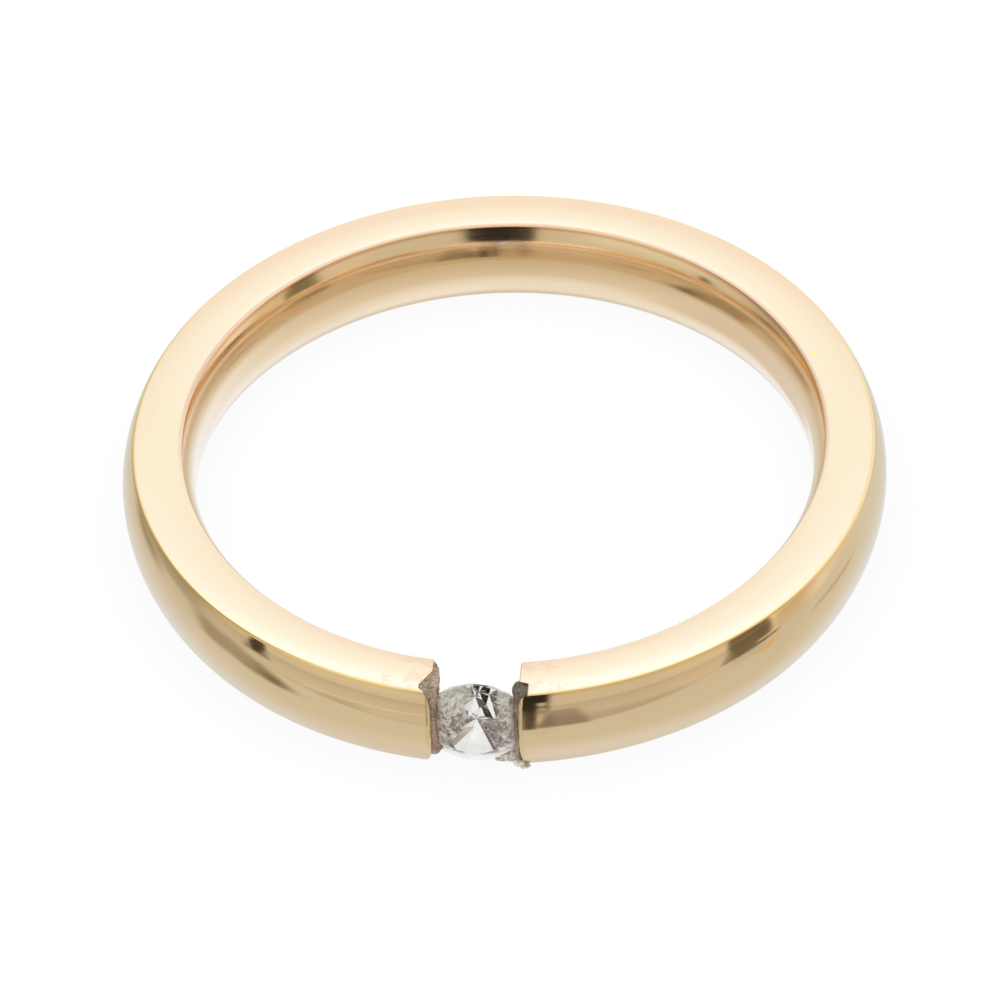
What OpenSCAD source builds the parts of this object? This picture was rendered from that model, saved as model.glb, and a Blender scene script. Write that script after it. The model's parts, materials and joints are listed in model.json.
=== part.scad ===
// A finger ring lying on its side: an open band whose two ends grip a round stone by its edge.
// The origin is on the finger hole's axis, in the plane that the ring rests on.
// The gap faces -Y and the hole runs along Z.

/* [Band] */
// Diameter of the finger hole at its narrowest
bore_d = 16.9; // [14:0.1:22]
// Width of the band, which is its height as the ring lies
band_w = 2.58; // [2.2:0.02:4]
// Thickness of the band at the middle of its width
band_t = 1.99; // [1.7:0.01:2.6]
// How far the outer face bulges past its edges
outer_crown = 0.36; // [0.16:0.02:0.5]
// How far the finger side bulges past its edges
inner_crown = 0.35; // [0.1:0.01:0.45]
// Width of the straight strip round the middle of the finger side
land_w = 0.5; // [0.3:0.1:1.2]
// Rounding of the four long edges
edge_r = 0.1; // [0.02:0.01:0.14]

/* [Stone] */
// Diameter of the stone across its girdle
stone_d = 2.75; // [2.4:0.05:3.2]
// Share of the stone's diameter that the table's corners span
table_share = 0.57; // [0.5:0.01:0.65]
// Slope of the large facets between girdle and table, in degrees
crown_angle = 34; // [30:0.5:38]
// Slope of the large facets between girdle and culet, in degrees
pavilion_angle = 40.5; // [39:0.25:43]
// Thickness of the girdle at its thick places
girdle_t = 0.1; // [0.08:0.01:0.16]
// Length of the star facets, as a share of the crown's width
star_share = 0.5; // [0.35:0.01:0.65]
// Length of the lower girdle facets, as a share of the pavilion's width
lower_share = 0.78; // [0.65:0.01:0.85]
// Turn of the stone about its own axis, in degrees
stone_turn = 4.5; // [0:0.5:45]
// Distance of the stone's point from the finger hole
culet_clear = 0.125; // [0.03:0.005:0.3]

/* [Ends and seats] */
// Depth to which each end of the band reaches over the stone's edge
grip = 0.225; // [0.12:0.005:0.3]
// Play between the stone and its seats
seat_play = 0.01; // [0.005:0.005:0.03]
// How far the left groove goes on past the stone's edge
left_extra = 0.09; // [0.02:0.01:0.15]
// Spread of the left groove's inner wall beyond the stone's slope, in degrees
left_spread_in = 16; // [2:1:20]
// Spread of the left groove's outer wall beyond the stone's slope, in degrees
left_spread_out = 4; // [2:1:14]
// Bevel of each end's outer edge at the middle of the band's width
end_bevel = 0.08; // [0.03:0.01:0.12]
// Bevel of each end's outer edge at the band's side faces
corner_bevel = 0.19; // [0.12:0.01:0.22]

/* [Hidden] */
$fn = 180;

gold = "#e9c79b";
colourless = "#eef0f2";

bore_r = bore_d / 2;
outer_r = bore_r + band_t;
half_w = band_w / 2;

// the outer face is one arc, the finger side a straight strip between two arcs
outer_arc = (half_w ^ 2 + outer_crown ^ 2) / (2 * outer_crown);
inner_run = half_w - land_w / 2;
inner_arc = (inner_run ^ 2 + inner_crown ^ 2) / (2 * inner_crown);
outer_arc_x = outer_r - outer_arc;
inner_arc_x = bore_r + inner_arc;

// centres of the edge roundings, and the heights at which they leave the arcs
edge_z = half_w - edge_r;
outer_edge_x = outer_arc_x + sqrt((outer_arc - edge_r) ^ 2 - edge_z ^ 2);
outer_touch_z = edge_z * outer_arc / (outer_arc - edge_r);
inner_edge_x = inner_arc_x - sqrt((inner_arc - edge_r) ^ 2 - (edge_z - land_w / 2) ^ 2);
inner_touch_z = land_w / 2 + (edge_z - land_w / 2) * inner_arc / (inner_arc - edge_r);

// the stone stands with its point just outside the finger hole
stone_r = stone_d / 2;
table_r = table_share * stone_r;
crown_h = (stone_r - table_r) * tan(crown_angle);
pavilion_h = stone_r * tan(pavilion_angle);
girdle_y = bore_r + culet_clear + pavilion_h + girdle_t / 2;

// the ring lies on its side face, or on the stone where that is wider than the band
mid_z = max(half_w, stone_r);

// heights and slopes of the small facets, with the girdle's middle at z = 0
step = 45;
girdle_top = girdle_t / 2;
table_z = girdle_top + crown_h;
table_flat_r = table_r * cos(step / 2);
star_r = table_flat_r + star_share * (stone_r - table_flat_r);
star_z = girdle_top + (stone_r - star_r * cos(step / 2)) * tan(crown_angle);
star_slope = atan((table_z - star_z) / (star_r - table_flat_r));
upper_slope = atan((star_z - girdle_top) / ((stone_r - star_r) * cos(step / 4)));
lower_r = (1 - lower_share) * stone_r;
lower_z = girdle_top + (stone_r - lower_r * cos(step / 2)) * tan(pavilion_angle);
lower_slope = atan((lower_z - girdle_top) / ((stone_r - lower_r) * cos(step / 4)));

// the gap is as wide as the stone less what the two ends cover
gap_w = stone_d - 2 * grip;
cut = 1;

// where the end's outer edge lies at mid width and at the side faces
end_mid_y = sqrt(outer_r ^ 2 - (gap_w / 2) ^ 2);
end_side_y = sqrt((outer_r - outer_crown) ^ 2 - (gap_w / 2) ^ 2);
bevel_sag = end_mid_y - end_bevel - end_side_y;
bevel_r = (bevel_sag ^ 2 + half_w ^ 2 - corner_bevel ^ 2) / (2 * (bevel_sag + corner_bevel));
bevel_y = end_mid_y - end_bevel - bevel_r;

// Cross-section of the band, with the ring's axis at x = 0 and mid width at y = 0
module band_section() {
    intersection() {
        outer_side();
        finger_side();
    }
}

// Everything inside the outer face
module outer_side() {
    intersection() {
        translate([outer_arc_x, 0]) circle(r = outer_arc);
        translate([0, -outer_touch_z]) square([outer_r + cut, 2 * outer_touch_z]);
    }
    translate([bore_r - cut, -outer_touch_z]) square([outer_arc_x - bore_r + cut, 2 * outer_touch_z]);
    translate([bore_r - cut, -half_w]) square([outer_edge_x - bore_r + cut, band_w]);
    for (side = [-1, 1]) translate([outer_edge_x, side * edge_z]) circle(r = edge_r);
}

// Everything outside the finger side
module finger_side() {
    intersection() {
        union() {
            for (side = [-1, 1]) translate([inner_arc_x, side * land_w / 2]) circle(r = inner_arc);
            translate([bore_r, -land_w / 2]) square([inner_arc, land_w]);
        }
        translate([bore_r - cut, -inner_touch_z]) square([inner_arc + cut, 2 * inner_touch_z]);
    }
    translate([inner_edge_x, -half_w]) square([outer_r - inner_edge_x + cut, band_w]);
    for (side = [-1, 1]) translate([inner_edge_x, side * edge_z]) circle(r = edge_r);
}

// The space between the two ends
module gap() {
    translate([-gap_w / 2, -outer_r - cut, -cut])
        cube([gap_w, outer_r + cut - bore_r / 2, mid_z + band_w + 2 * cut]);
}

// A groove across the right end, from its mouth at the end face inwards.
// The mouth and the floor are each given as half widths towards the finger and away from it.
module groove(depth, mouth_in, mouth_out, floor_in, floor_out) {
    translate([gap_w / 2, -girdle_y, -cut])
        linear_extrude(mid_z + band_w + 2 * cut)
            polygon([
                [-cut / 2, mouth_in], [0, mouth_in], [depth, floor_in],
                [depth, -floor_out], [0, -mouth_out], [-cut / 2, -mouth_out]
            ]);
}

// The left groove opens wider than the stone on both sides
module left_groove() {
    depth = grip + left_extra;
    floor_half = girdle_t / 2 + seat_play;
    mouth_in = floor_half + depth * tan(lower_slope + left_spread_in);
    mouth_out = floor_half + depth * tan(upper_slope + left_spread_out);
    mirror([1, 0, 0]) groove(depth, mouth_in, mouth_out, floor_half, floor_half);
}

// The right groove is cut square, just wide enough for the stone's edge
module right_groove() {
    width_in = girdle_t / 2 + grip * tan(lower_slope) + seat_play;
    width_out = girdle_t / 2 + grip * tan(upper_slope) + seat_play;
    groove(grip + seat_play, width_in, width_out, width_in, width_out);
}

// What the bevel takes off the right end: all that lies outside a cone along X
module end_bevel_cut() {
    reach = corner_bevel + edge_r;
    translate([gap_w / 2, -bevel_y, mid_z])
        difference() {
            translate([-cut / 2, -outer_r, -band_w]) cube([cut / 2 + reach, outer_r, 2 * band_w]);
            rotate([0, 90, 0])
                translate([0, 0, -cut])
                    cylinder(h = cut + 2 * reach, r1 = bevel_r - cut, r2 = bevel_r + 2 * reach);
        }
}

module band() {
    color(gold)
        difference() {
            translate([0, 0, mid_z]) rotate_extrude() band_section();
            gap();
            left_groove();
            right_groove();
            end_bevel_cut();
            mirror([1, 0, 0]) end_bevel_cut();
        }
}

// All that lies on the inner side of one facet, which leans back by slope and passes through
// the height z at the distance r from the axis
module facet_space(turn, slope, r, z) {
    block = 3 * stone_d;
    rotate([0, 0, turn])
        translate([r, 0, z])
            rotate([0, slope, 0])
                translate([-block, -block / 2, -block]) cube([2 * block, block, block]);
}

// One ring of like facets, spaced evenly from a first turn
module facet_ring(count, first, slope, r, z) {
    intersection_for (i = [0 : count - 1])
        facet_space(first + i * 360 / count, slope, r, z);
}

// A round brilliant with its table up
module brilliant() {
    girdle_r = stone_r * cos(step / 4);
    intersection() {
        translate([0, 0, -pavilion_h - cut]) cylinder(h = pavilion_h + cut + table_z, r = stone_r);
        facet_ring(8, 0, crown_angle, stone_r, girdle_top);
        facet_ring(8, step / 2, star_slope, table_flat_r, table_z);
        facet_ring(16, step / 4, upper_slope, girdle_r, girdle_top);
        mirror([0, 0, 1]) facet_ring(8, 0, pavilion_angle, stone_r, girdle_top);
        mirror([0, 0, 1]) facet_ring(16, step / 4, lower_slope, girdle_r, girdle_top);
    }
}

module stone() {
    color(colourless)
        translate([0, -girdle_y, mid_z])
            rotate([90, 0, 0])
                rotate([0, 0, stone_turn])
                    brilliant();
}

band();
stone();
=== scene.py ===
# A gold ring whose two ends grip a small round stone, lying on its side on a pale floor
import json
import math
import bmesh
import bpy
import numpy as np
from mathutils import Matrix, Vector, noise
from mathutils.bvhtree import BVHTree


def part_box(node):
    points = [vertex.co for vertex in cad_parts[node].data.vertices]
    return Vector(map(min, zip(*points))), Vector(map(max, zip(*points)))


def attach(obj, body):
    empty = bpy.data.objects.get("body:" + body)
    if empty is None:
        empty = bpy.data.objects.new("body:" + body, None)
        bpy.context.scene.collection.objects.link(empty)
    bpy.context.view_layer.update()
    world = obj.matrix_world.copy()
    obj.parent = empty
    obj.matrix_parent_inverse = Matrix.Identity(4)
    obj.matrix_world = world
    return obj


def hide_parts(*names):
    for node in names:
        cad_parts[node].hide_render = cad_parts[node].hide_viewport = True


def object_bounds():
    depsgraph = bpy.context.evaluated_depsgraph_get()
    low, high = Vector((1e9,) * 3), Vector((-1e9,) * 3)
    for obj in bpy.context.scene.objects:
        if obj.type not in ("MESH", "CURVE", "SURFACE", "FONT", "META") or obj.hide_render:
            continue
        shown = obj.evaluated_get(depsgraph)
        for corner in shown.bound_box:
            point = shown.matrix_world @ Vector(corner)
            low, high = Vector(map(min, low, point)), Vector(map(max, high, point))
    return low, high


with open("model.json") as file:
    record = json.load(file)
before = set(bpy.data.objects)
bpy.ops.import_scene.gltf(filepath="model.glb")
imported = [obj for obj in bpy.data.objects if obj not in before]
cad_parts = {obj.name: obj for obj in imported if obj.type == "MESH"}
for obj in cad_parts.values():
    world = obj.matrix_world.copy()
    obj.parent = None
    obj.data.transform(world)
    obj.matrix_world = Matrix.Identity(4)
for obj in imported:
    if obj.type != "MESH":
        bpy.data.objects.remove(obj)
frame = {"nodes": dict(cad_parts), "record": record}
cadLow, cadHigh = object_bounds()
mm = 0.001
bandLow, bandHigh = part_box("band")
stoneLow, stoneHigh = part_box("stone")
midHeight = (stoneLow.z + stoneHigh.z) / 2  # half way up the band, and the stone's middle
holeMount = [m for m in frame["record"]["mounts"] if m["name"] == "finger_hole"][0]
print("frame loaded")

# shared helpers


def smoothStep(t):
    t = np.clip(t, 0, 1)
    return t * t * (3 - 2 * t)


def meshObject(name, points, faces, material):
    mesh = bpy.data.meshes.new(name)
    mesh.from_pydata([tuple(p) for p in points], [], faces)
    mesh.validate()
    mesh.materials.append(material)
    obj = bpy.data.objects.new(name, mesh)
    bpy.context.scene.collection.objects.link(obj)
    return obj


def rgb(colour):
    return (*colour, 1.0)


class Shader:
    # a short way to put nodes in a tree and join them
    def __init__(self, tree):
        self.tree = tree
        self.tree.nodes.clear()

    def add(self, kind, settings=None, **inputs):
        node = self.tree.nodes.new(kind)
        for key, value in (settings or {}).items():
            setattr(node, key, value)
        for key, value in inputs.items():
            self.feed(node, key, value)
        return node

    def feed(self, node, key, value):
        # a key such as i0 is a socket's number, any other key its name
        name = key.replace("_", " ")
        socket = node.inputs[int(key[1:])] if key[0] == "i" and key[1:].isdigit() else node.inputs[name]
        if isinstance(value, bpy.types.NodeSocket):
            self.tree.links.new(value, socket)
        elif isinstance(value, bpy.types.Node):
            self.tree.links.new(value.outputs[0], socket)
        else:
            socket.default_value = value

    def math(self, operation, a, b=0.0):
        return self.add("ShaderNodeMath", {"operation": operation}, i0=a, i1=b).outputs[0]

    def plus(self, a, b):
        return self.math("ADD", a, b)

    def minus(self, a, b):
        return self.math("SUBTRACT", a, b)

    def times(self, a, b):
        return self.math("MULTIPLY", a, b)

    def larger(self, a, b):
        return self.math("MAXIMUM", a, b)

    def size(self, a):
        return self.math("ABSOLUTE", a)

    def scaled(self, vector, scale):
        return self.add("ShaderNodeVectorMath", {"operation": "SCALE"}, i0=vector, Scale=scale).outputs[0]

    def ramp(self, value, low, high, toLow=0.0, toHigh=1.0):
        # a soft step between two values, and what it gives at each of them
        settings = {"interpolation_type": "SMOOTHSTEP"}
        return self.add("ShaderNodeMapRange", settings, Value=value, From_Min=low, From_Max=high,
                        To_Min=toLow, To_Max=toHigh).outputs[0]

    def border(self, value, base, ends, toLow=0.0, toHigh=1.0):
        # the same, with its two ends counted from a base
        return self.ramp(value, base + ends[0], base + ends[1], toLow, toHigh)

    def mix(self, factor, a, b, blend="MIX"):
        node = self.add("ShaderNodeMix", {"data_type": "RGBA", "blend_type": blend})
        self.feed(node, "i0", factor)
        self.feed(node, "i6", a)
        self.feed(node, "i7", b)
        return node.outputs[2]

    def noise(self, vector, scale, detail, roughness, distortion=0.0):
        return self.add("ShaderNodeTexNoise", Vector=vector, Scale=scale, Detail=detail,
                        Roughness=roughness, Distortion=distortion).outputs[0]


def newMaterial(name):
    material = bpy.data.materials.new(name)
    material.use_nodes = True
    return material, Shader(material.node_tree)


# In the dictionaries below, a name that ends in Noise holds a noise's scale for each millimetre, detail,
# roughness and, where it has one, distortion. A Ramp holds the two ends of a soft step, and may go on with
# what the step gives at each of them. A Border holds two such ends too, counted from an edge or a level.

# the band

band = {
    "holeRadius": holeMount["dims"]["r_mm"] * mm,
    "thickness": 1.99 * mm,
    "outerCrown": 0.36 * mm,  # how far the outer face bulges past its edges
    "innerCrown": 0.35 * mm,  # and the finger side
    "landWidth": 0.50 * mm,  # straight strip round the middle of the finger side
    "edgeRadius": 0.10 * mm,
    "sideSag": 0.022 * mm,  # the side faces are a little domed by polishing
    "lipRadius": 0.04 * mm,  # rounding of the rims of the two end faces
    "endThinning": 0.08 * mm,  # of the finger side's upper and lower edges towards the ends
    "thinningReach": 60,  # how far round the band from each end, in degrees
    "thinningRadius": 9.28 * mm,  # it grows from this radius inwards
    "thinningWay": 0.45 * mm,  # and is full this much farther in
    "gap": 2.30 * mm,
    "stonePlane": 9.8 * mm,  # where the stone is widest, from the hole's axis
    "midBevel": 0.14 * mm,  # rounding of the ends' outer edges at mid width
    "cornerBevel": 0.19 * mm,  # and at the side faces
    "steps": 330,  # sections round the band
    "endSteps": 22,  # closer sections next to each end
    "endSpan": 8,  # how far round those go, in degrees
    "slantSpan": 16,  # and how far the sections lean with the end face
    "innerSteps": 13,  # points of the section: finger side, an edge, side face, outer face
    "edgeSteps": 8,
    "faceSteps": 16,
    "outerSteps": 19,
    "creaseSpace": 0.012 * mm,  # between the lines along an edge of a groove
    "lineSpace": 0.03 * mm,  # least space between these and other lines
    "turnSpace": 0.008,  # the same on the outer face, in radians
}
# the grooves that hold the stone: depth, and half widths towards the finger and away from it
leftGroove = {"depth": 0.315 * mm, "mouthIn": 0.557 * mm, "mouthOut": 0.372 * mm,
              "floorIn": 0.06 * mm, "floorOut": 0.06 * mm}
rightGroove = {"depth": 0.235 * mm, "mouthIn": 0.268 * mm, "mouthOut": 0.262 * mm,
               "floorIn": 0.205 * mm, "floorOut": 0.200 * mm}

halfWidth = (bandHigh.z - bandLow.z) / 2
outerRadius = band["holeRadius"] + band["thickness"]
girdleY = band["stonePlane"]
outerArc = (halfWidth ** 2 + band["outerCrown"] ** 2) / (2 * band["outerCrown"])
outerArcX = outerRadius - outerArc
innerRun = halfWidth - band["landWidth"] / 2
innerArc = (innerRun ** 2 + band["innerCrown"] ** 2) / (2 * band["innerCrown"])
innerArcX = band["holeRadius"] + innerArc
sideWidth = outerRadius - band["outerCrown"] - band["holeRadius"] - band["innerCrown"]
sideWidth -= 2 * band["edgeRadius"]
sideTilt = math.atan(4 * band["sideSag"] / sideWidth)  # of the side faces at their edges
edgeZ = halfWidth - band["sideSag"] - band["edgeRadius"]
outerEdgeX = outerArcX + math.sqrt((outerArc - band["edgeRadius"]) ** 2 - edgeZ ** 2)
innerRise = edgeZ - band["landWidth"] / 2
innerEdgeX = innerArcX - math.sqrt((innerArc - band["edgeRadius"]) ** 2 - innerRise ** 2)

# an end's bevel starts at a circle in y and z, which lies midBevel inside the end's outer edge at mid width
# and cornerBevel inside it at the side faces
endMidY = math.sqrt(outerRadius ** 2 - (band["gap"] / 2) ** 2)
endSideY = math.sqrt((outerRadius - band["outerCrown"]) ** 2 - (band["gap"] / 2) ** 2)
bevelSag = endMidY - band["midBevel"] - endSideY
bevelSpan = bevelSag ** 2 + halfWidth ** 2 - band["cornerBevel"] ** 2
bevelRadius = bevelSpan / (2 * (bevelSag + band["cornerBevel"]))
bevelY = endMidY - band["midBevel"] - bevelRadius


def grooveDepth(y, groove):
    # how deep the groove is at a distance y from the hole's axis
    u = girdleY - y
    wallIn = (groove["mouthIn"] - u) / (groove["mouthIn"] - groove["floorIn"])
    wallOut = (groove["mouthOut"] + u) / (groove["mouthOut"] - groove["floorOut"])
    return groove["depth"] * np.clip(np.minimum(wallIn, wallOut), 0, 1)


def endDepth(y, z, groove):
    # how far the end face lies back from the plane of the gap's side
    beyond = np.maximum(np.hypot(y - bevelY, z) - bevelRadius, 0)
    width = band["midBevel"] + (band["cornerBevel"] - band["midBevel"]) * np.abs(z) / halfWidth
    rounded = np.minimum(beyond, 0.97 * width)  # stops short of where the rounding stands upright
    bevel = width - np.sqrt(np.maximum(width ** 2 - rounded ** 2, 0))
    return np.maximum(bevel, grooveDepth(y, groove))


def endX(r, z, groove, extra=0.0):
    # the x at which a line of constant radius and height meets the end face
    x = np.full(np.shape(r), band["gap"] / 2)
    for _ in range(60):  # closes in on the answer
        x = band["gap"] / 2 + extra + endDepth(np.sqrt(r * r - x * x), z, groove)
    return x


def groovedRows():
    # radii of the lines round the ring that run into the grooves: three to each edge of a groove's walls
    # and one to the middle of each wall
    rows = []
    space = band["creaseSpace"]
    for groove in (leftGroove, rightGroove):
        for mouth, floor, side in (("mouthIn", "floorIn", -1), ("mouthOut", "floorOut", 1)):
            for part in (0, 0.5, 1):
                u = groove[mouth] + part * (groove[floor] - groove[mouth])
                row = math.hypot(girdleY + side * u, band["gap"] / 2 + part * groove["depth"])
                rows += [row] if part == 0.5 else [row - space, row, row + space]
    return rows


def upperOutline():
    # the band's section from the strip's upper corner over the top to the middle of the outer face:
    # radius, height above the middle, and the outward direction
    rows = groovedRows()
    margin = 0.01 * mm  # at least about this much is left between them and the edges' roundings
    points = []

    def arc(centreX, centreZ, radius, angles, way):
        # way is -1 on the finger side and 1 on the outer side
        for a in angles:
            points.append((centreX + way * radius * math.cos(a), centreZ + radius * math.sin(a),
                           way * math.cos(a), math.sin(a)))

    edge = band["edgeRadius"]
    quarter = math.pi / 2 - sideTilt
    inTouch = math.asin(innerRise / (innerArc - edge))
    arc(innerArcX, band["landWidth"] / 2, innerArc, np.linspace(0, inTouch, band["innerSteps"]), -1)
    arc(innerEdgeX, edgeZ, edge, np.linspace(inTouch, quarter, band["edgeSteps"])[1:], -1)

    start, height = points[-1][:2]
    stop = outerEdgeX + edge * math.sin(sideTilt)
    flat = list(np.linspace(start, stop, band["faceSteps"])[1:-1])
    flat = [r for r in flat if min(abs(r - s) for s in rows) > band["lineSpace"]]
    flat += [r for r in rows if start + margin < r < stop - margin / 2]
    middle, half = (start + stop) / 2, (stop - start) / 2
    for r in sorted(flat):
        u = (r - middle) / half
        tilt = sideTilt * u
        rise = half * math.tan(sideTilt) / 2 * (1 - u * u)
        points.append((r, height + rise, math.sin(tilt), math.cos(tilt)))

    outTouch = math.asin(edgeZ / (outerArc - edge))
    arc(outerEdgeX, edgeZ, edge, np.linspace(quarter, outTouch, band["edgeSteps"]), 1)
    last = points[-1][0]
    turns = list(np.linspace(outTouch, 0, band["outerSteps"])[1:])
    extra = [math.acos((r - outerArcX) / outerArc) for r in rows if last + margin < r < outerRadius - margin]
    turns = [a for a in turns if a == 0 or min(abs(a - b) for b in extra) > band["turnSpace"]] + extra
    arc(outerArcX, 0, outerArc, sorted(turns, reverse=True), 1)
    return np.array(points)


def acrossEnd(half, crease):
    # heights of the points along one row of an end face, from top to bottom,
    # as shares of the way to the crease where the bevel starts and from there to the middle
    crease = np.clip(crease, 0.15 * half, 0.92 * half)
    outer = half - (half - crease) * np.array([0.12, 0.26, 0.42, 0.6, 0.8, 1.0])
    inner = crease * np.array([0.96, 0.8, 0.6, 0.4, 0.2])
    return np.concatenate([outer, inner, [0.0], -inner[::-1], -outer[::-1]])


def makeBand(material):
    upper = upperOutline()
    lower = upper[-2::-1] * np.array([1, -1, 1, -1])
    stripZ = acrossEnd(band["landWidth"] / 2, 1.0)[::-1]
    strip = np.array([(band["holeRadius"], z, -1, 0) for z in stripZ])
    outline = np.concatenate([upper, lower, strip])
    r, z, nr, nz = outline.T
    count, top, across = len(outline), len(upper) - 1, len(stripZ)

    # lines round the ring, which start and stop where they meet the two end faces
    lip = band["lipRadius"]
    thinned = band["endThinning"] * smoothStep((band["thinningRadius"] - r) / band["thinningWay"])
    endR = r + thinned
    startAngle = np.arcsin(endX(endR, z, rightGroove, lip) / endR)
    stopAngle = np.arcsin(endX(endR, z, leftGroove, lip) / endR)
    first = math.asin((band["gap"] / 2 + lip) / girdleY)
    final = 2 * math.pi - first
    near = math.radians(band["endSpan"])
    angles = np.concatenate([np.linspace(first, first + near, band["endSteps"])[:-1],
                             np.linspace(first + near, final - near, band["steps"]),
                             np.linspace(final - near, final, band["endSteps"])[1:]])
    slant = math.radians(band["slantSpan"])
    fromStart = np.clip(1 - (angles - first) / slant, 0, 1) ** 2
    fromStop = np.clip(1 - (final - angles) / slant, 0, 1) ** 2
    points, sweptNormals, faces = [], [], []
    for angle, a, b in zip(angles, fromStart, fromStop):
        turn = angle + a * (startAngle - first) - b * (stopAngle - first)
        toEnd = min(angle, 2 * math.pi - angle) - first
        rr = r + thinned * smoothStep(1 - toEnd / math.radians(band["thinningReach"]))
        points += list(np.stack([rr * np.sin(turn), -rr * np.cos(turn), z], 1))
        sweptNormals += list(np.stack([nr * np.sin(turn), -nr * np.cos(turn), nz], 1))
    for j in range(len(angles) - 1):
        for k in range(count):
            nextK = (k + 1) % count
            faces.append((j * count + k, j * count + nextK, (j + 1) * count + nextK, (j + 1) * count + k))
    sweptFaces = len(faces)

    def endCap(ring, side, groove):
        # four narrow loops round the rim off, then rows cross the face from top to bottom
        def addFace(*corners):
            faces.append(tuple(reversed(corners)) if side > 0 else corners)

        loop = ring
        for share in (0.08, 0.3, 0.62, 1.0):
            inset = share * lip
            rr, zz = endR - inset * nr, z - inset * nz
            x = endX(rr, zz, groove, lip - math.sqrt(max(lip ** 2 - (lip - inset) ** 2, 0)))
            new = range(len(points), len(points) + count)
            points.extend(np.stack([side * x, -np.sqrt(rr * rr - x * x), zz], 1))
            for k in range(count):
                nextK = (k + 1) % count
                addFace(loop[k], loop[nextK], new[nextK], new[k])
            loop = new
        rows = [[loop[0], *[loop[i] for i in range(count - 1, 2 * top, -1)], loop[2 * top]]]
        for k in range(1, top):
            y = -points[loop[k]][1]
            crease = math.sqrt(max(bevelRadius ** 2 - (y - bevelY) ** 2, 0))
            zz = acrossEnd(points[loop[k]][2], crease)
            rr = np.full(len(zz), math.hypot(points[loop[k]][0], y))
            x = endX(rr, zz, groove)
            new = range(len(points), len(points) + across)
            points.extend(np.stack([side * x, -np.sqrt(rr * rr - x * x), zz], 1))
            rows.append([loop[k], *new, loop[2 * top - k]])
        for rowA, rowB in zip(rows, rows[1:]):
            for i in range(across + 1):
                addFace(rowB[i], rowB[i + 1], rowA[i + 1], rowA[i])
        for i in range(across + 1):
            addFace(loop[top], rows[-1][i + 1], rows[-1][i])

    endCap(range(count), 1, rightGroove)
    endCap(range((len(angles) - 1) * count, len(angles) * count), -1, leftGroove)

    # the swept part has the outline's own normals, the end faces the mean of the faces round each point
    points = np.array(points)
    points[:, 2] += midHeight
    normals = np.zeros((len(points), 3))
    for face in faces[sweptFaces:]:
        corners = points[list(face)]
        area = np.zeros(3)
        for i in range(1, len(corners) - 1):
            area += np.cross(corners[i] - corners[0], corners[i + 1] - corners[0])
        for corner in face:
            normals[corner] += area
    normals[:len(sweptNormals)] = sweptNormals
    normals /= np.maximum(np.linalg.norm(normals, axis=1, keepdims=True), 1e-12)
    obj = meshObject("gold_band", points, faces, material)
    obj.data.shade_smooth()
    obj.data.normals_split_custom_set_from_vertices([tuple(n) for n in normals])
    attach(obj, "root")
    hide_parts("band")
    return obj


gold = {
    "colour": (0.95, 0.73, 0.50),
    "outerRoughness": 0.05,
    "innerRoughness": 0.11,  # of the finger side
    "innerBorder": (0.02 * mm, -0.03 * mm),  # from the rim of the finger side inwards
    "smearNoise": (0.9, 3, 0.6),  # patches of a duller polish
    "smearRamp": (0.4, 0.7, 0.0, 0.03),
    "lineNoise": (14, 3, 0.6),  # dull lines round the band
    "lineRamp": (0.35, 0.75, 0.0, 0.03),
    "lineStretch": 0.05,  # all lines are drawn out round the band
    # pink tarnish on the upper side face, thickest near the ends
    "tarnish": (0.91, 0.60, 0.40),
    "tarnishShare": 0.65,
    "tarnishReach": 2.6 * mm,  # from the ends
    "tarnishMore": 0.26,  # what the nearness of an end adds to its noise
    "tarnishNoise": (2.0, 5, 0.62),
    "tarnishRamp": (0.67, 0.73),
    "tarnishRoughness": 0.12,
    "frontRamp": (0.0, -0.001 * mm),  # in y: the half of the ring that has the ends
    "faceBorder": (-0.12 * mm, -0.03 * mm),  # below the upper side face
    # a drop of dried lacquer
    "drop": (8.28 * mm, 3.73 * mm, 2.66 * mm),
    "dropRamp": (0.108 * mm, 0.045 * mm),  # by the distance from its middle
    "dropColour": (0.95, 0.80, 0.16),
    "dropShare": 0.6,
    # painted reflections tinted into the gold: a painted highlight on the upper outer edge, a painted dark
    # reflection on the upper edge of the finger side at the back, painted greenish reflections on the ends'
    # bevels
    "edgeHighlightTint": (0.92, 0.66, 0.34),
    "edgeBorder": (-0.04 * mm, 0.03 * mm),
    "topBorder": (-0.02 * mm, 0.05 * mm),  # only where the edges' roundings start, and above
    "rearReflectionTint": (0.80, 0.50, 0.31),
    "rearBorder": (0.07 * mm, 0.0),
    "rearRamp": (-3 * mm, 3 * mm),  # in y
    "bevelReflectionTint": (0.87, 0.70, 0.42),
    "bevelBorder": (0.17 * mm, 0.10 * mm),
    "bevelRamp": (-9.9 * mm, -10.0 * mm),  # in y
    # relief: broad waves, scratches, hairlines on the finger side
    "wave": 0.0006 * mm,
    "waveNoise": (0.4, 1, 0.4),
    "scratch": 0.00006 * mm,
    "scratchNoise": (30, 2, 0.5),
    "hairline": 0.0005 * mm,
    "hairlineNoise": (36, 2, 0.6),
    # ripples that the file has left on the upper side face; the step and the two ramps are in millimetres
    # round the band
    "ripple": 0.0002 * mm,
    "rippleStep": 0.30,
    "rippleSlant": 0.35,
    "rippleStartRamp": (-12, -8),
    "rippleStopRamp": (-1.5, -4),
}


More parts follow.
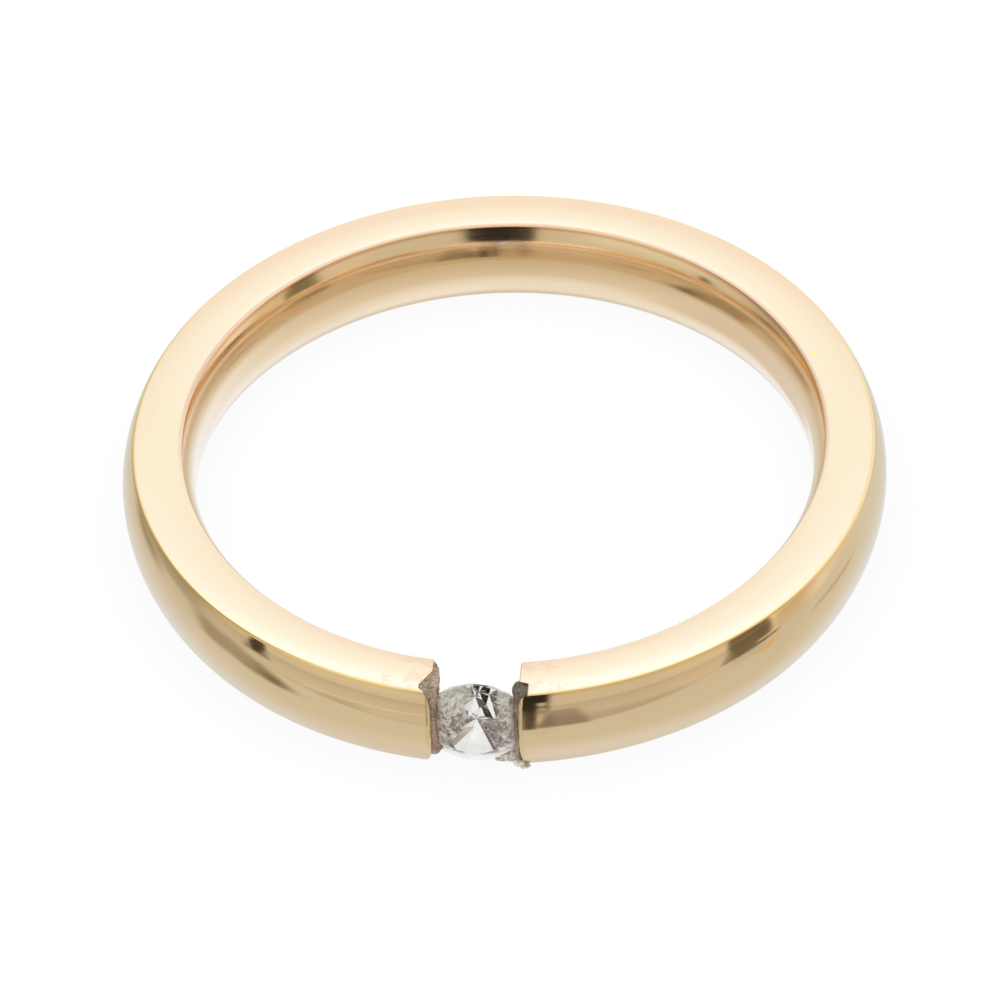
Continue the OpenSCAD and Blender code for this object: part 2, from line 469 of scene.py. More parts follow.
def goldMaterial():
    material, s = newMaterial("polished gold")
    place = s.add("ShaderNodeTexCoord").outputs["Object"]
    x, y, z = s.add("ShaderNodeSeparateXYZ", Vector=place).outputs
    radius = s.math("SQRT", s.plus(s.times(x, x), s.times(y, y)))
    inMillimetres = s.scaled(place, 1 / mm)
    # coordinates that follow the band: round it, out from the axis, and up
    turn = s.times(s.math("ARCTAN2", x, s.times(y, -1.0)), outerRadius / mm)
    along = s.add("ShaderNodeCombineXYZ", X=s.times(turn, gold["lineStretch"]),
                  Y=s.times(radius, 1 / mm), Z=s.times(z, 1 / mm)).outputs[0]

    smears = s.ramp(s.noise(inMillimetres, *gold["smearNoise"]), *gold["smearRamp"])
    lines = s.ramp(s.noise(along, *gold["lineNoise"]), *gold["lineRamp"])
    inner = s.border(radius, band["holeRadius"] + band["innerCrown"], gold["innerBorder"])
    roughness = s.mix(inner, rgb((gold["outerRoughness"],) * 3), rgb((gold["innerRoughness"],) * 3))
    roughness = s.plus(s.plus(roughness, smears), lines)

    reach = s.minus(s.size(turn), band["gap"] / 2 / mm)
    near = s.times(s.ramp(reach, gold["tarnishReach"] / mm, 0.0), s.ramp(y, *gold["frontRamp"]))
    face = s.border(z, midHeight + halfWidth, gold["faceBorder"])
    tarnish = s.plus(s.noise(inMillimetres, *gold["tarnishNoise"]), s.times(near, gold["tarnishMore"]))
    tarnish = s.times(s.ramp(tarnish, *gold["tarnishRamp"]), face)
    colour = s.mix(s.times(tarnish, gold["tarnishShare"]), rgb(gold["colour"]), rgb(gold["tarnish"]))
    roughness = s.plus(roughness, s.times(tarnish, gold["tarnishRoughness"]))

    apart = s.add("ShaderNodeVectorMath", {"operation": "DISTANCE"}, i0=place, i1=gold["drop"])
    drop = s.times(s.ramp(apart.outputs["Value"], *gold["dropRamp"]), gold["dropShare"])
    colour = s.mix(drop, colour, rgb(gold["dropColour"]))

    # painted highlight and painted reflections on the upper edges and on the ends' bevels
    atTop = s.border(z, midHeight + edgeZ, gold["topBorder"])
    onEdge = s.times(s.border(radius, outerEdgeX, gold["edgeBorder"]), atTop)
    colour = s.mix(onEdge, colour, rgb(gold["edgeHighlightTint"]))
    onRear = s.times(s.border(radius, innerEdgeX, gold["rearBorder"]), atTop)
    colour = s.mix(s.times(onRear, s.ramp(y, *gold["rearRamp"])), colour, rgb(gold["rearReflectionTint"]))
    onBevel = s.border(s.size(x), band["gap"] / 2, gold["bevelBorder"])
    onBevel = s.times(onBevel, s.ramp(y, *gold["bevelRamp"]))
    colour = s.mix(onBevel, colour, rgb(gold["bevelReflectionTint"]))

    heights = s.times(s.noise(inMillimetres, *gold["waveNoise"]), gold["wave"] / mm)
    phase = s.plus(turn, s.times(radius, gold["rippleSlant"] / mm))
    ripple = s.math("SINE", s.times(phase, 2 * math.pi / gold["rippleStep"]))
    rippled = s.times(s.ramp(turn, *gold["rippleStartRamp"]), s.ramp(turn, *gold["rippleStopRamp"]))
    rippled = s.times(s.times(rippled, face), gold["ripple"] / mm)
    heights = s.plus(heights, s.times(ripple, rippled))
    heights = s.plus(heights, s.times(s.noise(along, *gold["scratchNoise"]), gold["scratch"] / mm))
    hairlines = s.times(s.noise(along, *gold["hairlineNoise"]), gold["hairline"] / mm)
    heights = s.plus(heights, s.times(hairlines, inner))
    bump = s.add("ShaderNodeBump", Strength=1.0, Distance=mm, Height=heights)
    skin = s.add("ShaderNodeBsdfPrincipled", Metallic=1.0, Base_Color=colour, Roughness=roughness,
                 Normal=bump)
    s.feed(s.add("ShaderNodeOutputMaterial"), "Surface", skin)
    return material


goldBand = makeBand(goldMaterial())
print("band made,", len(goldBand.data.polygons), "faces")

# the stone

film = {
    "refraction": 2.15,  # of the clear stone
    "reflection": 0.3,
    # dried soap and skin grease over the stone's flanks
    "light": (0.84, 0.77, 0.73),
    "dark": (0.26, 0.20, 0.17),
    # painted light: the white floor's glow through the stone's lower part, as a pale rim
    "floorLight": (0.98, 0.97, 0.97),
    "fleck": (0.97, 0.96, 0.95),
    "margin": (0.50, 0.39, 0.32),  # where it meets the dirt at the two ends
    "roughness": 0.55,
    "grainNoise": (7.5, 5, 0.72, 1.1),
    "dabNoise": (2.6, 2, 0.5, 0.6),
    "grainShare": 0.62,  # the rest is dabs
    "grainRamp": (0.41, 0.57),  # from dark to light
    "grainHeight": 0.02,
    # a fan below the hub and a narrower field above it are wiped clear
    "hub": 0.56 * mm,  # height of the hub over the stone's middle
    "hubHalf": 0.02 * mm,  # half width there
    "fanLeft": 0.56,  # how fast the fan spreads downwards
    "fanRight": 0.44,
    "fieldBorder": (-0.05 * mm, 0.10 * mm),  # where the field starts, from the hub
    "fieldLeft": 0.10 * mm,
    "fieldRight": 0.52 * mm,
    "besideMiddle": 0.26 * mm,  # x of the field's middle at the stone's upper edge
    "besideRamp": (0.24 * mm, 0.40 * mm),
    # how much of the stone the film covers
    "cover": 0.86,
    "flankRamp": (0.0, 0.10 * mm),  # from the clear part outwards
    "patchyGrowth": 0.35,  # it gets denser for each millimetre from the clear part
    "patchyRamp": (0.25, 0.75, 0.55, 1.0),
    "wornNoise": (9, 3, 0.6),
    "wornRamp": (0.36, 0.54, 0.35, 1.0),
    "lowBorder": (-0.62 * mm, -0.86 * mm),  # from the stone's middle, as the other heights below
    "lowCover": 0.9,
    "browBorder": (0.90 * mm, 1.05 * mm),
    "browCover": 0.5,
    "sideRamp": (0.85 * mm, 1.08 * mm, 0.0, 0.9),
    "crownBorder": (0.08 * mm, 0.02 * mm),  # from the stone's widest plane towards the finger
    "onBack": 0.10,  # share of the cover on the facets towards the finger
    # paler to the right and at the top, flecks, the margins, and a pale rim low down that is painted light
    # from the white floor showing through the stone
    "rightRamp": (0.1 * mm, 1.1 * mm, 0.0, 0.35),
    "topBorder": (0.45 * mm, 1.05 * mm),
    "topShare": 0.7,
    "fleckNoise": (15, 3, 0.6, 0.8),
    "fleckRamp": (0.57, 0.64, 0.0, 0.8),
    "marginRamp": (0.80 * mm, 1.08 * mm, 0.0, 0.7),
    "floorLightBorder": (-0.40 * mm, -0.60 * mm),
}


def filmCover(s, x, y, z, inMillimetres, dabs, beside):
    # how much of the film lies at each place of the stone
    hubZ = midHeight + film["hub"]
    below = s.larger(s.minus(hubZ, z), 0.0)
    above = s.border(z, hubZ, film["fieldBorder"])
    left = s.plus(s.times(below, film["fanLeft"]), film["hubHalf"])
    right = s.plus(s.times(below, film["fanRight"]), film["hubHalf"])
    left = s.plus(left, s.times(above, film["fieldLeft"]))
    right = s.plus(right, s.times(above, film["fieldRight"]))
    off = s.larger(s.minus(s.times(x, -1.0), left), s.minus(x, right))  # way out of the clear part
    patchy = s.ramp(s.plus(dabs, s.times(off, film["patchyGrowth"] / mm)), *film["patchyRamp"])
    cover = s.times(s.times(s.ramp(off, *film["flankRamp"]), patchy), film["cover"])
    cover = s.times(cover, s.ramp(s.noise(inMillimetres, *film["wornNoise"]), *film["wornRamp"]))
    cover = s.larger(cover, s.times(s.border(z, midHeight, film["lowBorder"]), film["lowCover"]))
    brow = s.border(z, midHeight, film["browBorder"], 0.0, film["browCover"])
    cover = s.larger(cover, s.times(brow, beside))
    cover = s.larger(cover, s.ramp(s.size(x), *film["sideRamp"]))
    onCrown = s.border(y, -girdleY, film["crownBorder"])
    return s.times(cover, s.ramp(onCrown, 0.0, 1.0, film["onBack"], 1.0))


def stoneMaterial():
    material, s = newMaterial("cut stone")
    place = s.add("ShaderNodeTexCoord").outputs["Object"]
    x, y, z = s.add("ShaderNodeSeparateXYZ", Vector=place).outputs
    inMillimetres = s.scaled(place, 1 / mm)
    dabs = s.noise(inMillimetres, *film["dabNoise"])
    beside = s.ramp(s.size(s.minus(x, film["besideMiddle"])), *film["besideRamp"])
    cover = filmCover(s, x, y, z, inMillimetres, dabs, beside)

    grain = s.times(s.noise(inMillimetres, *film["grainNoise"]), film["grainShare"])
    grain = s.plus(grain, s.times(dabs, 1 - film["grainShare"]))
    colour = s.mix(s.ramp(grain, *film["grainRamp"]), rgb(film["dark"]), rgb(film["light"]))
    paler = s.times(s.border(z, midHeight, film["topBorder"], 0.0, film["topShare"]), beside)
    paler = s.larger(s.ramp(x, *film["rightRamp"]), paler)
    colour = s.mix(paler, colour, rgb(film["fleck"]))
    flecks = s.ramp(s.noise(inMillimetres, *film["fleckNoise"]), *film["fleckRamp"])
    colour = s.mix(flecks, colour, rgb(film["fleck"]))
    colour = s.mix(s.ramp(s.size(x), *film["marginRamp"]), colour, rgb(film["margin"]))
    # painted light from the white floor below, as a pale rim on the stone's lower part
    colour = s.mix(s.border(z, midHeight, film["floorLightBorder"]), colour, rgb(film["floorLight"]))
    bump = s.add("ShaderNodeBump", Strength=0.6, Distance=mm, Height=s.times(grain, film["grainHeight"]))

    cut = s.add("ShaderNodeBsdfPrincipled", Roughness=0.0, IOR=film["refraction"],
                Specular_IOR_Level=film["reflection"], Transmission_Weight=1.0)
    dried = s.add("ShaderNodeBsdfPrincipled", Base_Color=colour, Roughness=film["roughness"], Normal=bump)
    skin = s.add("ShaderNodeMixShader", Fac=cover)
    s.feed(skin, "i1", cut)
    s.feed(skin, "i2", dried)
    s.feed(s.add("ShaderNodeOutputMaterial"), "Surface", skin)
    return material


stone = frame["nodes"]["stone"]
stone.data.materials.clear()
stone.data.materials.append(stoneMaterial())
print("stone dressed")

# dirt that has dried between the stone and the two ends

grime = {
    "around": 56,  # points round each rope of dirt
    "along": 170,  # sections along it
    "passes": 6,  # of smoothing along it
    "closing": 0.045,  # share of its length over which each end closes
    "smallest": 0.0004,  # area of the section at the very end, as a share
    "lump": 0.035 * mm,
    "lumpScale": 5,  # for each millimetre
    "grit": 0.014 * mm,
    "gritScale": 17,
    "crumbling": 1.6,  # how much lumpier the crumbs are
    "clear": 0.004 * mm,  # left between the dirt and the stone
    "lowest": 0.004 * mm,
    "highest": 1.24 * mm,  # over the stone's middle, just under the band's upper side face
    # rows from top to bottom, in millimetres: x, y and height above the stone's middle of the middle of
    # the section, then its half widths across and along the way from the finger outwards
    "left": [
        (-1.24, -9.42, 1.31, 0.28, 0.64), (-1.24, -9.43, 1.12, 0.28, 0.62),
        (-1.20, -9.62, 0.88, 0.24, 0.44), (-1.14, -9.88, 0.60, 0.18, 0.26),
        (-1.13, -9.97, 0.0, 0.17, 0.24), (-1.12, -9.91, -0.50, 0.19, 0.25),
        (-1.08, -9.88, -0.76, 0.23, 0.28), (-1.13, -9.87, -0.94, 0.18, 0.23),
        (-1.18, -9.82, -1.10, 0.07, 0.12),
    ],
    "right": [
        (1.25, -9.70, 1.31, 0.26, 0.33), (1.22, -9.72, 1.08, 0.22, 0.28),
        (1.16, -9.78, 0.85, 0.17, 0.25), (1.14, -9.90, 0.60, 0.14, 0.23),
        (1.12, -9.94, 0.0, 0.13, 0.20), (1.12, -9.90, -0.55, 0.14, 0.22),
        (1.14, -9.84, -0.95, 0.15, 0.28), (1.15, -9.88, -1.18, 0.13, 0.20),
    ],
    # pale crumbs under the right end: the same, along the stone's lower edge
    "crumbs": [
        (0.46, -9.86, -1.285, 0.03, 0.04), (0.64, -9.90, -1.22, 0.07, 0.09),
        (0.84, -9.95, -1.09, 0.13, 0.12), (1.00, -9.99, -1.06, 0.17, 0.14),
        (1.12, -10.02, -1.20, 0.15, 0.13), (1.22, -10.03, -1.31, 0.07, 0.11),
        (1.44, -9.99, -1.34, 0.03, 0.05),
    ],
    # looks: streak draws the broad noise out upwards, atTop scales the colour of the uppermost part: painted
    # light on the left rope, painted shade on the right rope down in the end's notch
    "brown": {"dark": (0.16, 0.10, 0.07), "middle": (0.40, 0.27, 0.20), "light": (0.70, 0.58, 0.52),
              "roughness": 0.45, "streak": 0.18, "atTop": 1.3},
    "grey": {"dark": (0.13, 0.09, 0.06), "middle": (0.38, 0.28, 0.20), "light": (0.66, 0.56, 0.46),
             "roughness": 0.45, "streak": 0.22, "atTop": 0.5},
    "pale": {"dark": (0.42, 0.36, 0.30), "middle": (0.82, 0.80, 0.74), "light": (0.97, 0.98, 0.95),
             "roughness": 0.25, "streak": 1.0, "atTop": 1.0},
    "broadNoise": (7.0, 3, 0.6, 0.4),
    "broadRamp": (0.36, 0.60),  # from dark to middle
    "fineNoise": (16, 3, 0.7),
    "fineRamp": (0.46, 0.74, 0.0, 0.75),  # towards light
    "glossRamp": (0.4, 0.7),  # from dull to the look's own roughness
    "duller": 0.25,
    "topBorder": (0.7, 1.0),  # from the stone's middle, in millimetres
    "fineHeight": 0.03,
}


def grimeMaterial(name, look):
    material, s = newMaterial(name)
    inMillimetres = s.scaled(s.add("ShaderNodeTexCoord").outputs["Object"], 1 / mm)
    x, y, z = s.add("ShaderNodeSeparateXYZ", Vector=inMillimetres).outputs
    drawn = s.add("ShaderNodeCombineXYZ", X=x, Y=y, Z=s.times(z, look["streak"])).outputs[0]
    broad = s.noise(drawn, *grime["broadNoise"])
    fine = s.noise(inMillimetres, *grime["fineNoise"])
    colour = s.mix(s.ramp(broad, *grime["broadRamp"]), rgb(look["dark"]), rgb(look["middle"]))
    colour = s.mix(s.ramp(fine, *grime["fineRamp"]), colour, rgb(look["light"]))
    # painted light on the uppermost part of the brown dirt, painted shade on that of the grey dirt
    colour = s.scaled(colour, s.border(z, midHeight / mm, grime["topBorder"], 1.0, look["atTop"]))
    roughness = s.ramp(fine, *grime["glossRamp"], look["roughness"] + grime["duller"], look["roughness"])
    bump = s.add("ShaderNodeBump", Strength=0.8, Distance=mm, Height=s.times(fine, grime["fineHeight"]))
    skin = s.add("ShaderNodeBsdfPrincipled", Base_Color=colour, Roughness=roughness, Normal=bump)
    s.feed(s.add("ShaderNodeOutputMaterial"), "Surface", skin)
    return material


def makeGrime(name, rows, lump, material, level):
    # an uneven rope of dirt through the given rows, kept clear of the stone and of the floor;
    # its sections lie level, or else square to its way
    corners, sides = [v.co for v in stone.data.vertices], [p.vertices for p in stone.data.polygons]
    solid = BVHTree.FromPolygons(corners, sides)
    rows = np.array(rows) * mm
    at = np.linspace(0, 1, len(rows))
    t = np.linspace(0, 1, grime["along"])
    smooth = np.stack([np.interp(t, at, column) for column in rows.T], 1)
    for _ in range(grime["passes"]):
        smooth[1:-1] = (smooth[:-2] + 2 * smooth[1:-1] + smooth[2:]) / 4
    closing = np.sqrt(np.clip(np.minimum(t, 1 - t) / grime["closing"], grime["smallest"], 1))
    points, faces = [], []
    for i, (x, y, height, wide, deep) in enumerate(smooth):
        before, after = smooth[max(i - 1, 0)], smooth[min(i + 1, len(smooth) - 1)]
        way = Vector((0, 0, -1)) if level else Vector(after[:3] - before[:3]).normalized()
        side = Vector((0, 1, 0)).cross(way).normalized()
        out = way.cross(side)
        for a in np.linspace(0, 2 * math.pi, grime["around"], endpoint=False):
            ray = side * (math.cos(a) * wide * closing[i]) + out * (math.sin(a) * deep * closing[i])
            spot = Vector((x, y, height + midHeight)) + ray
            coarse = noise.fractal(spot / mm * grime["lumpScale"], 1.0, 2.0, 3)
            fine = noise.fractal(spot / mm * grime["gritScale"], 1.0, 2.0, 2)
            spot += ray.normalized() * (lump * coarse + grime["grit"] * fine) * closing[i]
            nearest, normal, _, _ = solid.find_nearest(spot)
            if (spot - nearest).dot(normal) < grime["clear"]:
                spot = nearest + normal * grime["clear"]
            spot.z = min(max(spot.z, grime["lowest"]), midHeight + grime["highest"])
            points.append(spot)
    count = grime["around"]
    for i in range(len(smooth) - 1):
        for k in range(count):
            nextK = (k + 1) % count
            faces.append((i * count + k, i * count + nextK, (i + 1) * count + nextK, (i + 1) * count + k))
    faces.append(tuple(reversed(range(count))))
    faces.append(tuple(range(len(points) - count, len(points))))
    obj = meshObject(name, points, faces, material)
    obj.data.shade_smooth()
    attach(obj, "root")


brownDirt = grimeMaterial("brown dirt", grime["brown"])
greyDirt = grimeMaterial("grey dirt", grime["grey"])
paleDirt = grimeMaterial("pale crumbs", grime["pale"])
makeGrime("dirt_left", grime["left"], grime["lump"], brownDirt, level=True)
makeGrime("dirt_right", grime["right"], grime["lump"], greyDirt, level=True)
makeGrime("dirt_crumbs", grime["crumbs"], grime["crumbling"] * grime["lump"], paleDirt, level=False)
print("dirt laid in the corners")

# floor, light and camera

# the ring lies on a glass plate, far above a white sheet
plate = {
    "radius": 0.7,
    "segments": 96,
    "drop": 0.002 * mm,  # how far under the ring it lies
    "shade": 0.05,  # of the soft shadow under the ring
    "shadeReach": 1.3 * mm,
    "ior": 1.5,
    "glow": 1.2,  # of the white sheet, for the stone and the dirt
    "veil": (0.19, 0.22, 0.30),  # light that the sheet throws up along the finger side
    "veilBorder": (0.3 * mm, 0.1 * mm),  # from the hole's radius, as warmBorder, rightStart and rightFull
    "warm": (0.88, 0.72, 0.56),  # painted bounce light and shade: a warm tint of what the finger side sees across the hole, in place of the veil
    "warmBorder": (-0.4 * mm, -2.4 * mm),
    # on the right the tint comes closer to the finger side
    "rightShare": 0.6,
    "rightXRamp": (1.0 * mm, 5 * mm),
    "rightYRamp": (-2 * mm, 1 * mm),
    "rightStart": -0.08 * mm,
    "rightFull": (-0.30 * mm, -0.85 * mm),  # at the two ends of farYRamp
    "farYRamp": (4.3 * mm, 6.2 * mm),
}


def makeFloor():
    bm = bmesh.new()
    bmesh.ops.create_circle(bm, cap_ends=True, segments=plate["segments"], radius=plate["radius"])
    mesh = bpy.data.meshes.new("floor")
    bm.to_mesh(mesh)
    bm.free()
    obj = bpy.data.objects.new("floor", mesh)
    bpy.context.scene.collection.objects.link(obj)
    obj.location.z = cadLow.z - plate["drop"]

    material, s = newMaterial("pale sheet")
    hole = band["holeRadius"]
    place = s.add("ShaderNodeTexCoord").outputs["Object"]
    x, y, _ = s.add("ShaderNodeSeparateXYZ", Vector=place).outputs
    away = s.add("ShaderNodeVectorMath", {"operation": "LENGTH"}, i0=place).outputs["Value"]
    path = s.add("ShaderNodeLightPath").outputs

    # the white that shows, with the ring's soft shadow
    off = s.size(s.minus(away, (hole + outerRadius) / 2))
    white = s.ramp(off, band["thickness"] / 2 + plate["shadeReach"], 0.0, 1.0, 1 - plate["shade"])
    white = s.times(white, s.ramp(path["Is Camera Ray"], 0.0, 1.0, plate["glow"], 1.0))
    white = s.add("ShaderNodeEmission", Color=rgb((1, 1, 1)), Strength=white)

    # the glass, as the polished gold sees it
    # painted bounce light and shade, warm, in what the finger side sees across the hole
    warm = s.border(away, hole, plate["warmBorder"])
    onRight = s.times(s.ramp(x, *plate["rightXRamp"]), s.ramp(y, *plate["rightYRamp"]))
    full = s.ramp(y, *plate["farYRamp"], *(hole + distance for distance in plate["rightFull"]))
    onRight = s.times(onRight, s.ramp(away, hole + plate["rightStart"], full))
    warm = s.larger(warm, s.times(onRight, plate["rightShare"]))
    veil = s.times(s.border(away, hole, plate["veilBorder"]), s.minus(1.0, warm))
    tint = s.mix(warm, rgb((1, 1, 1)), rgb(plate["warm"]))
    below = s.add("ShaderNodeAddShader")
    s.feed(below, "i0", s.add("ShaderNodeBsdfTransparent", Color=tint))
    s.feed(below, "i1", s.add("ShaderNodeEmission", Color=rgb(plate["veil"]), Strength=veil))
    glass = s.add("ShaderNodeMixShader", Fac=s.add("ShaderNodeFresnel", IOR=plate["ior"]))
    s.feed(glass, "i1", below)
    s.feed(glass, "i2", s.add("ShaderNodeBsdfGlossy", Roughness=0.0))

    straight = s.larger(path["Is Camera Ray"], path["Is Transmission Ray"])
    straight = s.larger(straight, path["Is Diffuse Ray"])
    skin = s.add("ShaderNodeMixShader", Fac=straight)
    s.feed(skin, "i1", glass)
    s.feed(skin, "i2", white)
    s.feed(s.add("ShaderNodeOutputMaterial"), "Surface", skin)
    mesh.materials.append(material)


# The studio round the ring, by the direction in which the ring sees it, in degrees: azimuth 0 is in front of
# the stone and 90 to its right. A panel reaches half to both sides of az, and from low to high. With taper
# it gets wider upwards, or downwards if that is negative. With lean it slants to higher azimuths upwards,
# or to lower ones. Later panels cover earlier ones.
studio = {
    "wall": (0.65, 0.62, 0.51),
    "farPanels": [
        # on the left: pale, then dark, then pale again
        {"az": -45, "half": 22, "low": 8, "high": 99, "soft": 10, "light": (0.77, 0.77, 0.62)},
        {"az": -48, "half": 30, "low": 48, "high": 99, "soft": 14, "light": (1.05, 1.15, 1.02)},
        {"az": -105, "half": 20, "low": -60, "high": 56, "soft": 8, "light": (0.46, 0.44, 0.34)},
        {"az": -148, "half": 15, "low": -60, "high": 99, "soft": 8, "light": (0.73, 0.78, 0.74)},
        # on the right: warm, and brighter farther round
        {"az": 62, "half": 14, "low": -60, "high": 99, "soft": 8, "light": (0.72, 0.66, 0.52)},
        {"az": 84, "half": 11, "low": -60, "high": 48, "soft": 5, "light": (0.73, 0.62, 0.43)},
        {"az": 106, "half": 12, "low": -60, "high": 99, "soft": 6, "light": (0.93, 0.87, 0.73)},
        # behind: bright, and more so from high up
        {"az": 162, "half": 45, "low": -60, "high": 99, "soft": 7, "light": (1.04, 1.18, 1.30)},
        {"az": 172, "half": 60, "low": 30, "high": 39, "soft": 5, "light": (0.99, 1.01, 1.05)},
        {"az": 172, "half": 60, "low": 48, "high": 99, "soft": 5, "light": (1.2, 1.45, 1.75)},
        # low on the right behind, overhead, and two low in front
        {"az": 118, "half": 15, "low": -60, "high": -7, "soft": 5, "light": (0.73, 0.69, 0.65)},
        {"az": 0, "half": 200, "low": 66, "high": 120, "soft": 8, "light": (1.1, 1.14, 1.1)},
        {"az": 38, "half": 15, "low": -28, "high": -17, "soft": 4, "light": (0.51, 0.47, 0.38)},
        {"az": -42, "half": 7, "low": -26, "high": -18, "soft": 4, "light": (0.48, 0.49, 0.37)},
    ],
    "sheet": (0.66, 0.67, 0.58),  # the white sheet far below the glass plate
    "sheetEdge": 0.59,  # slope of the line of sight to the sheet's front edge
    "sheetRamp": (0.012, -0.012),
    "sheetLowRamp": (-27, -37),  # it fills all directions below these elevations
    "sheetHighRamp": (-10, -16),  # and none above these
    "sheetPanels": [
        {"az": 0, "half": 200, "low": -120, "high": -56, "soft": 8, "light": (0.70, 0.72, 0.69)},
        {"az": 192, "half": 75, "low": -60, "high": -34, "soft": 30, "light": (0.79, 0.86, 0.95)},
        {"az": 75, "half": 60, "low": -120, "high": -66, "soft": 8, "light": (0.74, 0.78, 0.79)},
    ],
    "edgeLine": (0.46, 0.42, 0.32),  # the sheet's curled edge
    "edgeRamp": (0.020, 0.004),
    "edgeHighRamp": (-13, -18),
    "edgeShare": 0.6,
    "nearPanels": [
        # a black panel in front with narrow dark strips under it and a few small lights
        {"az": 4.2, "half": 11.7, "low": -3, "high": 40, "soft": 1.2, "taper": 0.05,
         "light": (0.03, 0.025, 0.02)},
        {"az": -3.7, "half": 0.7, "low": -31, "high": 0, "soft": 0.6, "light": (0.10, 0.08, 0.06)},
        {"az": 6.0, "half": 0.9, "low": -31, "high": 0, "soft": 0.6, "light": (0.07, 0.06, 0.05)},
        {"az": 9.9, "half": 1.8, "low": -31, "high": 0, "soft": 0.6, "light": (0.09, 0.07, 0.05)},
        {"az": 13.2, "half": 1.1, "low": 0.5, "high": 5, "soft": 0.8, "light": (0.55, 0.5, 0.36)},
        {"az": 12.5, "half": 0.5, "low": -31, "high": -8, "soft": 0.4, "light": (0.9, 0.72, 0.5)},
        {"az": 19, "half": 5.5, "low": -29.5, "high": -6, "soft": 1.4, "taper": -0.2,
         "light": (0.28, 0.25, 0.20)},
        # a dark panel on the right with two bright lines in it and a warm patch below
        {"az": 72.5, "half": 7, "low": -15.5, "high": 24, "soft": 1.2, "taper": -0.12,
         "light": (0.20, 0.17, 0.11)},
        {"az": 78, "half": 3.5, "low": -12.5, "high": -11, "soft": 0.8, "light": (1.0, 0.95, 0.7)},
        {"az": 80.5, "half": 0.8, "low": -12, "high": 6, "soft": 1.2, "light": (0.95, 0.9, 0.65)},
        {"az": 79.5, "half": 2.5, "low": -26, "high": -20, "soft": 3, "light": (0.80, 0.50, 0.24)},
        # dark shapes on the left
        {"az": -65.5, "half": 3, "low": -9, "high": 8, "soft": 1, "taper": -0.18,
         "light": (0.07, 0.055, 0.035)},
        {"az": -69, "half": 9, "low": -33, "high": -17, "soft": 4, "lean": -0.5,
         "light": (0.30, 0.28, 0.20)},
        {"az": -64, "half": 3.5, "low": -34, "high": -25, "soft": 3, "light": (0.17, 0.15, 0.10)},
        {"az": -114, "half": 8, "low": -20, "high": -14, "soft": 5, "light": (0.33, 0.27, 0.19)},
        {"az": -79, "half": 9, "low": -29, "high": -13, "soft": 4, "light": (0.37, 0.34, 0.26)},
        # a thin pale line on the left, and a slanted shade behind on the right
        {"az": -34, "half": 17, "low": -16.4, "high": -15.3, "soft": 0.7, "light": (0.86, 0.80, 0.72)},
        {"az": 107, "half": 9, "low": -27, "high": -24, "soft": 2, "lean": 1.0, "light": (0.52, 0.44, 0.38)},
    ],
    "stoneTint": (1.2, 1.06, 0.95),  # of the light that goes through the stone
}


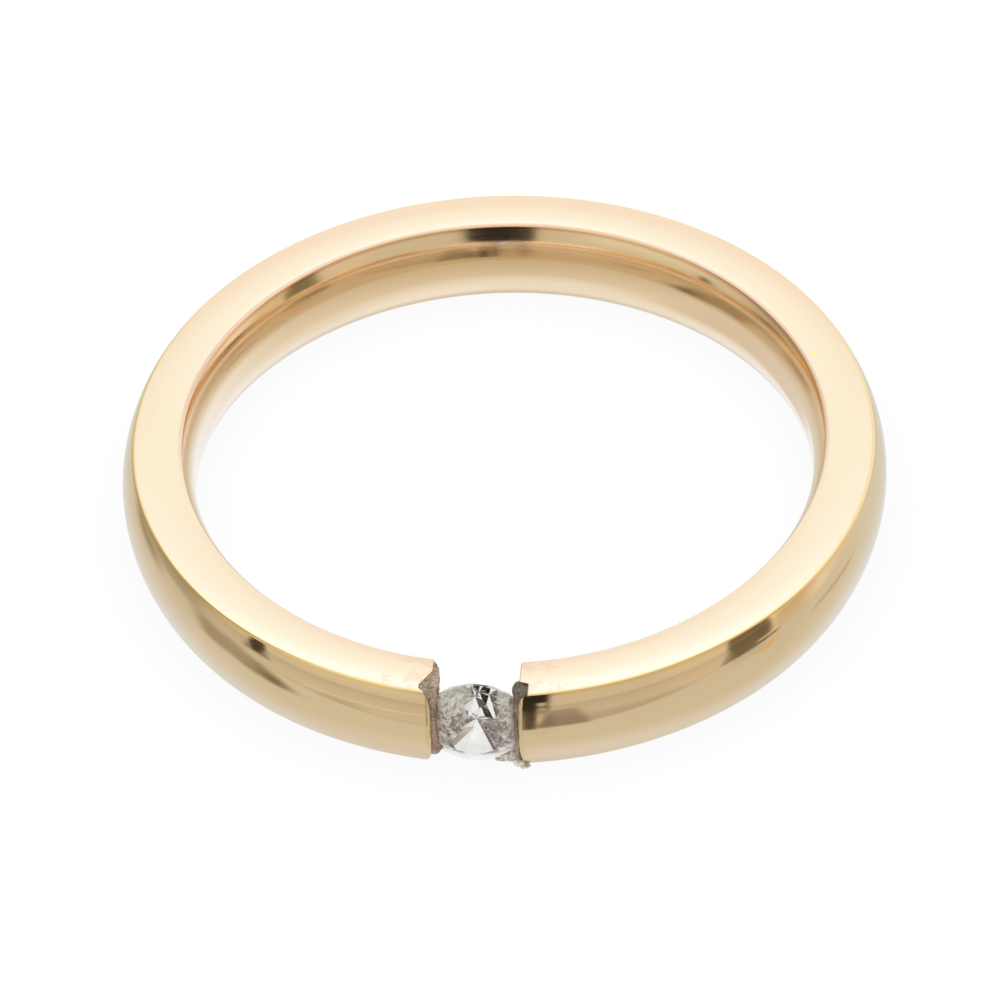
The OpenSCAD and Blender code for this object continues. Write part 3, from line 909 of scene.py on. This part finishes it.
def makeWorld():
    world = bpy.data.worlds.new("soft light")
    bpy.context.scene.world = world
    world.use_nodes = True
    world.cycles.sampling_method = "NONE"
    s = Shader(world.node_tree)
    direction = s.add("ShaderNodeTexCoord").outputs["Generated"]
    x, y, z = s.add("ShaderNodeSeparateXYZ", Vector=direction).outputs
    forward = s.times(y, -1.0)
    azimuth = s.math("DEGREES", s.math("ARCTAN2", x, forward))
    elevation = s.math("DEGREES", s.math("ARCSINE", z))

    def cover(light, panels):
        for panel in panels:
            half, soft = panel["half"], panel["soft"]
            middle, tall = (panel["low"] + panel["high"]) / 2, (panel["high"] - panel["low"]) / 2
            rise = s.minus(elevation, middle)
            off = s.minus(azimuth, panel["az"])
            if "lean" in panel:
                off = s.minus(off, s.times(rise, panel["lean"]))
            off = s.size(s.add("ShaderNodeMath", {"operation": "WRAP"}, i0=off, i1=180.0, i2=-180.0))
            if "taper" in panel:
                off = s.minus(off, s.times(rise, panel["taper"]))
            mask = s.ramp(off, half + soft, half - soft)
            mask = s.times(mask, s.ramp(s.size(rise), tall + soft, tall - soft))
            light = s.mix(mask, light, rgb(panel["light"]))
        return light

    above = s.plus(z, s.times(forward, studio["sheetEdge"]))  # the line of sight over the sheet's edge
    sheet = cover(rgb(studio["sheet"]), studio["sheetPanels"])
    onSheet = s.larger(s.ramp(above, *studio["sheetRamp"]), s.ramp(elevation, *studio["sheetLowRamp"]))
    onSheet = s.times(onSheet, s.ramp(elevation, *studio["sheetHighRamp"]))
    light = s.mix(onSheet, cover(rgb(studio["wall"]), studio["farPanels"]), sheet)
    line = s.times(s.ramp(s.size(above), *studio["edgeRamp"]), s.ramp(elevation, *studio["edgeHighRamp"]))
    light = s.mix(s.times(line, studio["edgeShare"]), light, rgb(studio["edgeLine"]))
    light = cover(light, studio["nearPanels"])
    path = s.add("ShaderNodeLightPath").outputs
    light = s.mix(path["Is Camera Ray"], light, rgb((1, 1, 1)))
    light = s.mix(path["Is Transmission Ray"], light, rgb(studio["stoneTint"]), "MULTIPLY")
    background = s.add("ShaderNodeBackground", Color=light, Strength=1.0)
    s.feed(s.add("ShaderNodeOutputWorld"), "Surface", background)


view = {
    "distance": 185.7 * mm,  # from the middle of the ring
    "azimuth": 5.82,  # in degrees, from straight in front of the stone to the right
    "elevation": 42.63,
    "roll": -2.23,
    "aimRight": -0.15 * mm,  # the point it looks at, from the middle of the ring
    "aimUp": -0.82 * mm,
    "lens": 244.4,
    "sensor": 36,
    "clip": (0.01, 5),
}


def makeCamera():
    a, e, roll = (math.radians(view[key]) for key in ("azimuth", "elevation", "roll"))
    centre = Vector((0, 0, midHeight))
    back = Vector((math.sin(a) * math.cos(e), -math.cos(a) * math.cos(e), math.sin(e)))
    right = Vector((math.cos(a), math.sin(a), 0))
    up = back.cross(right)
    place = centre + view["distance"] * back
    forward = (centre + view["aimRight"] * right + view["aimUp"] * up - place).normalized()
    right = forward.cross(Vector((0, 0, 1))).normalized()
    up = right.cross(forward)
    right, up = (math.cos(roll) * right + math.sin(roll) * up, math.cos(roll) * up - math.sin(roll) * right)
    camera = bpy.data.objects.new("camera", bpy.data.cameras.new("camera"))
    bpy.context.scene.collection.objects.link(camera)
    camera.data.sensor_width = view["sensor"]
    camera.data.lens = view["lens"]
    camera.data.clip_start, camera.data.clip_end = view["clip"]
    camera.matrix_world = Matrix.Translation(place) @ Matrix((right, up, -forward)).transposed().to_4x4()
    bpy.context.scene.camera = camera


makeFloor()
makeWorld()
makeCamera()
bpy.context.scene.view_settings.view_transform = "Standard"
print("floor, light and camera set")
